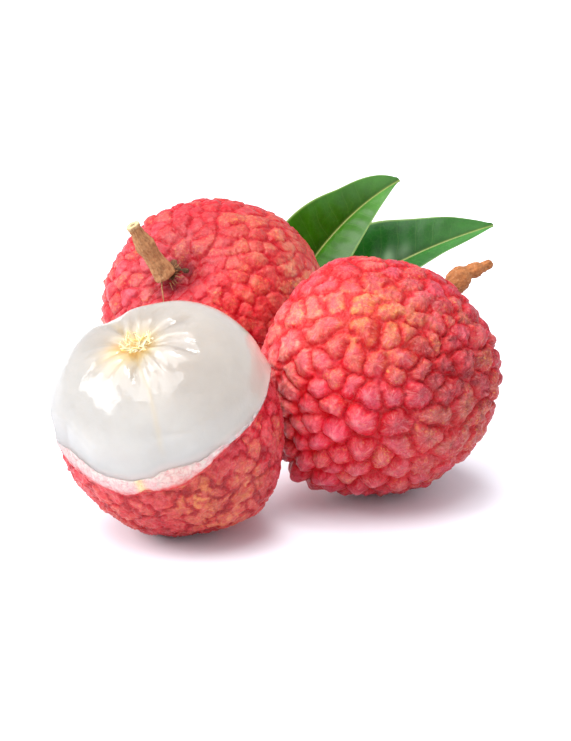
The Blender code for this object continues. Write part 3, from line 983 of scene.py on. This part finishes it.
def bark_material():
    """Bark: its colour comes with the mesh, under dark grain and a few pale spots."""
    look = Look("stalk_bark", Roughness=0.78, Specular_IOR_Level=0.25)
    grain = look.noise(0.7, 5, 0.65)
    shade = look.ramp(grain, (0.3, linear(150, 110, 80)), (0.62, linear(255, 236, 214)))
    base = look.blend(look.colour("tint"), shade, 0.55, "MULTIPLY")
    base = look.blend(look.colour("tint"), base, 0.75)
    base = look.blend(base, linear(226, 190, 150), look.ramp(look.noise(0.35, 2), (0.6, 0), (0.72, 0.35)))
    bump = look.bump(look.noise(0.35, 4, 0.65), 0.5, 0.12)
    return look.wire(Base_Color=base, Normal=look.bump(grain, 0.5, 0.2, bump))


BARK = bark_material()


def smooth_table(share, table, soft=0.022):
    """A quantity read off (share, value) pairs, with its corners rounded."""
    places, values = np.array(table).T
    shifts = np.array([-1.5, -0.75, 0, 0.75, 1.5]) * soft
    return np.mean([np.interp(share + shift, places, values) for shift in shifts], 0)


def round_places(sides, size, heights):
    """Where a tube's points are for its noise: on a circle of that size, at a height for each ring."""
    return rows_of(np.cos(turns(sides)) * size, np.sin(turns(sides)) * size, heights[:, None])


def stalk(name, node, start, route, radii, seed, fissure, knobs, tip_colour, hollow, body=TAN):
    """A woody stalk: fissured lengthwise, cut at its free end, and hollow under its flared foot."""
    noise, rings, sides = Noise(seed), STALK_RINGS, STALK_SIDES
    share = np.linspace(0, 1, rings)
    centres = start + bezier(route, share)
    places = round_places(sides, 1.2, share * 2.2)
    cracks = np.abs(noise.fractal(places * (1, 1, 0.55), 0.55, 3, 0.6))
    relief = fissure * (1 - 2.2 * cracks) + knobs * noise.fractal(places * (1, 1, 4), 0.9, 3, 0.6)
    points, along = tube(centres, smooth_table(share, radii), sides, relief.reshape(rings, sides))
    streak = noise.fractal(places * (1, 1, 0.5), 0.35, 3, 0.6)
    tint = mix(body, BROWN, np.clip(0.6 - 3.2 * cracks, 0, 0.6))
    tint = np.clip(tint * (1 + 0.22 * streak)[:, None], 0, 1)
    stack = [points.reshape(-1, 3)]
    tints = [mix(tint, tip_colour, 0.8 * np.repeat(smooth(share, 0.93, 0.99), sides))]
    for inset, push, shade in ((0.86, 0.1, 1), (0.6, 0.02, 1.02), (0.3, -0.03, 0.92)):
        stack.append(centres[-1] + (points[-1] - centres[-1]) * inset + along[-1] * push)
        tints.append(np.broadcast_to(np.clip(tip_colour * shade, 0, 1), (sides, 3)))
    # Painted shade: the hollow under the foot is darker the deeper it goes.
    for inset, push, shade in ((0.9, 0.05, 0.8), (0.72, 0.25, 0.6), (0.35, 0.5, 0.4)):
        stack.append(centres[0] + (points[0] - centres[0]) * inset + along[0] * push * hollow)
        tints.append(np.broadcast_to(OLIVE * shade, (sides, 3)))
    foot = (rings + 3) * sides
    end = foot + 3 * sides
    faces = ring_faces(rings + 3, sides) + [range(foot - sides, foot)[::-1]]
    faces += [(side, foot + side, foot + (side + 1) % sides, (side + 1) % sides) for side in range(sides)]
    faces += ring_faces(3, sides, foot) + [range(end - sides, end)[::-1]]
    new_piece(name, np.concatenate(stack), faces, BARK, "bark", node, tint=np.concatenate(tints))


LEFT_ROUTE = [(-7.6, -12.1, 10.1), (-9.2, -12.4, 12.6), (-11.3, -13.2, 16.1), (-12.8, -13.8, 19.1)]
RIGHT_ROUTE = [(10.9, 9.9, 9.2), (12.9, 11.6, 14.9), (16.6, 12.7, 13.3), (18.0, 13.8, 14.6)]
left_radii = [  # share of the way from the foot, and mm
    (0, 1.72), (0.05, 1.9), (0.11, 1.62), (0.17, 1.74), (0.24, 1.5), (0.4, 1.36), (0.52, 1.42), (0.62, 1.66),
    (0.7, 1.4), (0.82, 1.02), (0.92, 0.98), (1, 1.12),
]
right_radii = [
    (0, 1.25), (0.08, 1.3), (0.14, 1.5), (0.2, 1.75), (0.29, 1.92), (0.37, 1.78), (0.43, 1.35), (0.47, 0.95),
    (0.52, 1.1), (0.6, 1.25), (0.68, 1.1), (0.76, 0.8), (0.84, 0.72), (0.92, 0.8), (0.97, 0.72), (1, 0.45),
]
stalk("left_stalk_bark", "left_stalk", LEFT.centre, LEFT_ROUTE, left_radii, 61, 0.1, 0.08, CREAM, 1.2)
stalk(
    "right_stalk_bark", "right_stalk", RIGHT.centre, RIGHT_ROUTE, right_radii, 67, 0.05, 0.16, ORANGE * 0.9,
    0.2, ORANGE,
)


def calyx(name, node, body, seed, radius=1.7):
    """The withered calyx at the bottom of the stalk's cavity: a thin crinkled disc with ragged lobes."""
    noise, sides, points, tints = Noise(seed), 80, [], []
    side = unit(np.cross(body.axis, (0.2, 0.1, 1)))
    front = np.cross(body.axis, side)
    floor = whole_outline(0.0, body.radius) + 0.3
    turn = turns(sides)
    ring = rows_of(np.cos(turn), np.sin(turn), 0)
    flat = ring[:, :1] * side + ring[:, 1:2] * front
    lobes = 1 + 0.16 * np.cos(5 * turn + 1) + 0.18 * noise(ring, 0.25)
    for level, sizes in ((0, (0.1, 0.5, 0.9)), (0.35, (1, 0.96, 0.8, 0.5, 0.1))):
        for size in sizes:
            out = radius * size * lobes
            lift = level * (0.6 if size == 1 else 1) + 0.22 * size**2 * noise(ring * size + seed, 0.3)
            lift += (out / (2 * floor)) ** 2 * 4
            points.append(body.centre + body.axis * (floor + lift)[:, None] + flat * out[:, None])
            shade = 0.85 + 0.3 * noise(ring + size, 0.2)
            tints.append(np.clip(mix(OLIVE, BROWN, 0.3 + 0.5 * size) * shade[:, None], 0, 1))
    faces = tube_faces(len(points), sides)
    new_piece(name, np.concatenate(points), faces, BARK, "bark", node, tint=np.concatenate(tints))


calyx("left_calyx_lobes", "left_calyx", LEFT, 71)
calyx("right_calyx_lobes", "right_calyx", RIGHT, 73)


def fibre(name, points, radii, colour, node=None, sides=10, seed=3):
    """A thin dry fibre through a few points, closed at both ends, with a ring for each radius."""
    noise = Noise(seed)
    line = through(points, len(radii), 6)
    skin = tube(line, radii * (1 + 0.25 * noise(line, 0.5)), sides)[0].reshape(-1, 3)
    tint = np.clip(colour * (1 + 0.25 * noise(skin, 0.6))[:, None], 0, 1)
    new_piece(name, skin, tube_faces(len(radii), sides), BARK, "bark", node, tint=tint)


carpel_route = [(-6.1, -12.7, 11.5), (-5.4, -13.0, 11.5), (-4.6, -13.3, 11.4), (-3.9, -13.5, 11.3)]
carpel_line = LEFT.centre + bezier(carpel_route, np.linspace(0, 1, 12))
carpel_table = [(0, 0.14), (0.45, 0.18), (0.65, 0.36), (0.85, 0.46), (1, 0.25)]
carpel_radii = smooth_table(np.linspace(0, 1, 40), carpel_table)
fibre("left_carpel_peg", carpel_line, carpel_radii, OLIVE, "left_withered_carpel", 20)
thread = [seen(-8.3, 5, 14.9), seen(-8.25, 3.7, 15.6), seen(-8.05, 2.6, 16.2), seen(-7.9, 1.2, 16.4)]
fibre("left_stalk_thread", LEFT.centre + thread, np.linspace(0.14, 0.07, 28), TAN * 0.8, sides=8)


def build_bristles():
    """Short bristles round the foot of the left stalk."""
    draw = np.random.default_rng(29)
    for number in range(9):
        turn = math.radians(-62 + 17 * number + draw.uniform(-6, 6))
        length = draw.uniform(0.9, 1.8)
        root = LEFT.centre + seen(-7.5 + 1.35 * math.cos(turn), 5.9 + 1.35 * math.sin(turn), 14.8)
        out = seen(math.cos(turn) * length, math.sin(turn) * length, draw.uniform(-0.2, 0.4))
        line = [root, root + out * 0.5 + seen(0.1, -0.25, 0.35), root + out]
        colour = mix(TAN, BROWN, draw.random())
        fibre(f"left_stalk_bristle_{number}", line, np.linspace(0.13, 0.03, 12), colour, sides=6, seed=number)


SPRIG = np.array([13.799, -13.606, 0])  # where the CAD's own frame for the twig and leaves starts
TWIG_RADIUS = 1.15  # mm, at the end away from the leaves
TWIG_ROUTE = [(-45, 55, 1.17), (-38, 55.3, 1.03), (-30, 55.1, 0.95), (-23, 54.6, 1.3), (-16.5, 54, 2.2)]


def build_twig():
    """The twig behind the left fruit, with two thicker places where leaves have been."""
    noise, rings, sides = Noise(83), 110, 40
    share = np.linspace(0, 1, rings)
    radius = TWIG_RADIUS * (1 - 0.48 * share)
    radius += 0.25 * bell(share - 0.45, 0.03) + 0.2 * bell(share - 0.8, 0.03)
    relief = 0.07 * noise.fractal(round_places(sides, 1, share * 4.8), 0.5, 3, 0.6)
    skin, _ = tube(through(TWIG_ROUTE, rings, 40) + SPRIG, radius, sides, relief.reshape(rings, sides))
    skin = skin.reshape(-1, 3)
    streak = noise.fractal(skin * (0.4, 1, 1), 0.6, 3, 0.6)
    tint = mix(BROWN, TAN, np.clip(0.5 + streak, 0, 1))
    faces = tube_faces(rings, sides)
    new_piece("sprig_twig_bark", above_table(skin), faces, BARK, "bark", "sprig_twig", tint=tint)


build_bristles()
build_twig()
build_dimple_fibres()


# Leaves

LEAF_ROWS, LEAF_COLUMNS = 220, 61
HALF_WIDTH, HALF_STALK = 8, 0.55  # mm from the midrib to the edge, where the leaf is widest and at its stalk
LEAF_THICK, RIB_THICK = 0.26, 0.42  # mm: the blade, and what the midrib adds below it
UNDER = linear(150, 182, 132)


def leaf_material():
    """Leaf: its colour comes with the mesh, with side veins and a fine net of small ones."""
    look = Look(
        "lychee_leaf", Roughness=0.3, Specular_IOR_Level=0.24, Subsurface_Weight=0.1, Subsurface_Scale=0.0008,
        Subsurface_Radius=(0.5, 1, 0.2),
    )
    part = look.maths("SUBTRACT", look.maths("FRACT", look.value("vein_phase")), 0.5)
    vein = look.ramp(look.maths("ABSOLUTE", part), (0, 0.9), (0.035, 0))
    vein = look.maths("MULTIPLY", vein, look.value("vein_strength"))
    net = look.ramp(look.cell_edges(0.9), (0, 1), (0.06, 0))
    mottle = look.ramp(look.noise(2.5, 4, 0.6), (0.3, 0.82), (0.7, 1.12))
    base = look.blend(look.colour("tint"), mottle, 0.8, "MULTIPLY")
    base = look.blend(base, linear(150, 190, 96), look.maths("MULTIPLY", vein, 0.13))
    base = look.blend(base, linear(120, 170, 84), look.maths("MULTIPLY", net, 0.07))
    bump = look.bump(vein, 0.25, 0.08, look.bump(net, 0.12, 0.05))
    return look.wire(Base_Color=base, Normal=look.bump(look.noise(0.5), 0.12, 0.06, bump))


LEAF = leaf_material()


def leaf_grid(widths, blunt, noise):
    """A leaf spread flat: shares along and across it, mm from the midrib, and panels between veins."""
    share, place = np.linspace(0, 1, LEAF_ROWS)[:, None], np.linspace(-1, 1, LEAF_COLUMNS)
    blade = np.clip((share - 0.1) / 0.9, 0, 1)
    half = np.maximum(HALF_STALK * (1 - 0.55 * blade), HALF_WIDTH * np.sin(math.pi * blade**0.82) ** 1.1)
    tip = np.sqrt(1 - blade) * smooth(blade, 0.7, 1)
    out = place * half * np.where(place < 0, *widths) + place * tip * np.where(place < 0, *blunt)
    waver = noise(rows_of(share * 9, out * 0.4, 0)).reshape(out.shape)
    phase = share * 15 - np.abs(out) * 0.16 + 0.25 * np.sign(out) + 0.12 * waver
    return SimpleNamespace(
        share=share, flat=np.abs(place), half=half, out=out, phase=phase, wide=smooth(half, 1, 4),
        panel=0.5 - 0.5 * np.cos(2 * math.pi * (phase - 0.5)),
    )


def leaf_points(at, rib, face, fold, noise):
    """The leaf's upper and lower points: folded along its midrib, waved at its edges, with raised panels."""
    line = bezier(rib, at.share[:, 0]) + SPRIG
    slope = unit(np.gradient(line, axis=0))
    normal = unit(face - slope * (slope @ face)[:, None])
    across = np.cross(slope, normal)[:, None]
    normal, away = normal[:, None], np.abs(at.out)
    angle = math.radians(fold) * (1 - 0.25 * at.flat)
    wave = noise.fractal(rows_of(at.share * 5, np.sign(at.out), 0), 1, 2).reshape(at.out.shape)
    rise = away * np.sin(angle) + 0.35 * wave * at.flat**2 * smooth(at.half, 0.6, 3)
    rise += 0.12 * at.panel * at.wide * smooth(away, 0.3, 1.2) * (1 - at.flat**3)
    rise -= 0.1 * bell(at.out, 0.3)
    top = line[:, None] + across * (at.out * np.cos(angle))[..., None] + normal * rise[..., None]
    thick = LEAF_THICK * (1 - 0.6 * at.flat**6) + RIB_THICK * (1 - 0.75 * at.share) * bell(at.out, 0.45)
    return np.concatenate([top.reshape(-1, 3), (top - normal * thick[..., None]).reshape(-1, 3)])


def leaf_faces():
    """Faces of both sides of a leaf and of the edge that joins them."""
    count = LEAF_ROWS * LEAF_COLUMNS
    index = np.arange(count).reshape(LEAF_ROWS, LEAF_COLUMNS)
    quads = np.stack([index[:-1, :-1], index[:-1, 1:], index[1:, 1:], index[1:, :-1]], -1).reshape(-1, 4)
    edge = np.concatenate([index[0, :], index[1:, -1], index[-1, -2::-1], index[-2:0:-1, 0]]).tolist()
    faces = quads.tolist() + (quads[:, ::-1] + count).tolist()
    for here, after in zip(edge, edge[1:] + edge[:1]):
        faces.append((after, here, here + count, after + count))
    return faces


def leaf_tint(at, dark, light, painted_shine_strength, noise):
    """The leaf's colour: two halves in a darker and a lighter green as painted light and shade, a tip made
    paler as painted sheen, a painted shine on one half, and a pale midrib and edge.
    """
    # Painted light and shade: one half of the folded leaf is given the darker green, the other the lighter
    # one.
    left = smooth(-at.out, -0.3, 0.3)[..., None]
    tone = 1 + 0.16 * noise.fractal(rows_of(at.share * 6, at.out * 0.5, 0), 1, 3)
    body = (dark * left + light * (1 - left)) * tone.reshape(*at.out.shape, 1)
    # Painted highlight: a pale shine on one half, near the midrib.
    shine = painted_shine_strength * bell(at.share - 0.64, 0.07) * bell(at.out + 1.3, 1.4) * (0.3 + 0.7 * at.panel)
    midrib = bell(at.out, 0.15) * (1 - 0.4 * at.share)
    # Painted sheen: the tip made paler.
    body = mix(body, linear(108, 170, 92), 0.45 * smooth(at.share, 0.66, 0.94) * (1 - 0.5 * at.flat))
    body = mix(body, linear(190, 222, 180), shine)
    body = mix(body, linear(190, 198, 112), np.clip(midrib * 1.1, 0, 1))
    body = mix(body, linear(170, 196, 110), 0.7 * smooth(at.flat, 0.95, 0.99))
    back = mix(UNDER, linear(186, 200, 132), bell(at.out, 0.4))
    return np.clip(np.concatenate([body.reshape(-1, 3), back.reshape(-1, 3)]), 0, 1)


def leaf(name, node, rib, face, widths, blunt, dark, light, seed, painted_shine_strength=0.0, fold=33.0):
    """A closed leaf, about 0.3 mm thick. Widths and blunt are for its two halves."""
    noise = Noise(seed)
    at = leaf_grid(widths, blunt, noise)
    strength = at.wide * smooth(np.abs(at.out), 0.2, 0.6) * (1 - 0.6 * at.flat)
    new_piece(
        name, leaf_points(at, rib, np.array(face), fold, noise), leaf_faces(), LEAF, "leaf", node,
        tint=leaf_tint(at, dark, light, painted_shine_strength, noise), vein_phase=np.tile(at.phase.reshape(-1), 2),
        vein_strength=np.tile(strength.reshape(-1), 2),
    )


TALL_RIB = [(-17.2, 53.9, 3.5), (-15.6, 52.2, 17.4), (-5, 51.4, 31.3), (5, 53.1, 36.3)]
SIDE_RIB = [(-15.7, 54.3, 2.7), (-9, 56.4, 13.1), (4, 57.2, 21.8), (21.9, 63.1, 25.5)]
leaf(
    "tall_leaf_blade", "tall_leaf", TALL_RIB, (-0.257, -0.811, 0.527), (0.97, 1), (5, 0.3), linear(44, 98, 2),
    linear(52, 106, 12), 91,
)
leaf(
    "side_leaf_blade", "side_leaf", SIDE_RIB, (-0.267, -0.633, 0.727), (1.22, 0.78), (3.4, 3.4),
    linear(6, 80, 0), linear(46, 112, 40), 97, painted_shine_strength=0.45,
)


# Camera, table and light

AIM = RIGHT.centre + (-14.5, 0, 0.07) + 1.01 * CAMERA_UP  # what the camera looks at (mm)
DISTANCE = 466  # mm from there to the camera
SENSOR = 36  # mm, along the picture's longer side
FOCAL = 2992 / 741  # the lens's focal length for each mm of that side


def place_camera():
    """Looks along the bunch's +Y, a little from above, with the right fruit right of the middle."""
    data = bpy.data.cameras.new("camera")
    data.sensor_width = SENSOR
    data.lens = SENSOR * FOCAL
    data.clip_start, data.clip_end = 0.01, 20
    camera = bpy.data.objects.new("camera", data)
    bpy.context.scene.collection.objects.link(camera)
    camera.location = Vector((AIM + DISTANCE * TO_CAMERA) * MM)
    camera.rotation_euler = (math.pi / 2 - ELEVATION, 0, 0)
    bpy.context.scene.camera = camera


def soft_light(name, place, size, power, target=(0, 0, 15)):
    """A rectangular light. Its place, size and what it points at are in mm."""
    data = bpy.data.lights.new(name, "AREA")
    data.shape = "RECTANGLE"
    data.size, data.size_y = size[0] * MM, size[1] * MM
    data.energy = power * LIGHT
    lamp = bpy.data.objects.new(name, data)
    bpy.context.scene.collection.objects.link(lamp)
    lamp.location = Vector(place) * MM
    lamp.rotation_euler = (Vector(target) - Vector(place)).to_track_quat("-Z", "Y").to_euler()


def lay_table():
    """A white table top, a tenth of a millimetre under the fruits, so that the two never share a plane."""
    look = Look("white_table", Roughness=0.35, Specular_IOR_Level=0.25)
    shade = look.ramp(look.noise(60, 2), (0, (0.87, 0.9, 0.96)), (1, (0.9, 0.92, 0.98)))
    mesh = bpy.data.meshes.new("table")
    mesh.from_pydata([(-3, -3, 0), (3, -3, 0), (3, 3, 0), (-3, 3, 0)], [], [(0, 1, 2, 3)])
    mesh.materials.append(look.wire(Base_Color=shade))
    top = bpy.data.objects.new("table", mesh)
    top.location.z = -0.1 * MM
    bpy.context.scene.collection.objects.link(top)


def light_room():
    world = bpy.data.worlds.new("studio")
    world.use_nodes = True
    background = world.node_tree.nodes["Background"]
    background.inputs["Color"].default_value = (0.94, 0.95, 1, 1)
    background.inputs["Strength"].default_value = 0.52 * LIGHT
    bpy.context.scene.world = world
    bpy.context.scene.view_settings.view_transform = "Standard"


place_camera()
lay_table()
soft_light("key", (-880, -150, 560), (860, 540), 7.8)
soft_light("top", (-190, -220, 1060), (1100, 1000), 10.6)
soft_light("glint", (40, 70, 1060), (280, 220), 1.6)
soft_light("front", (40, -980, 520), (1500, 700), 2)
light_room()
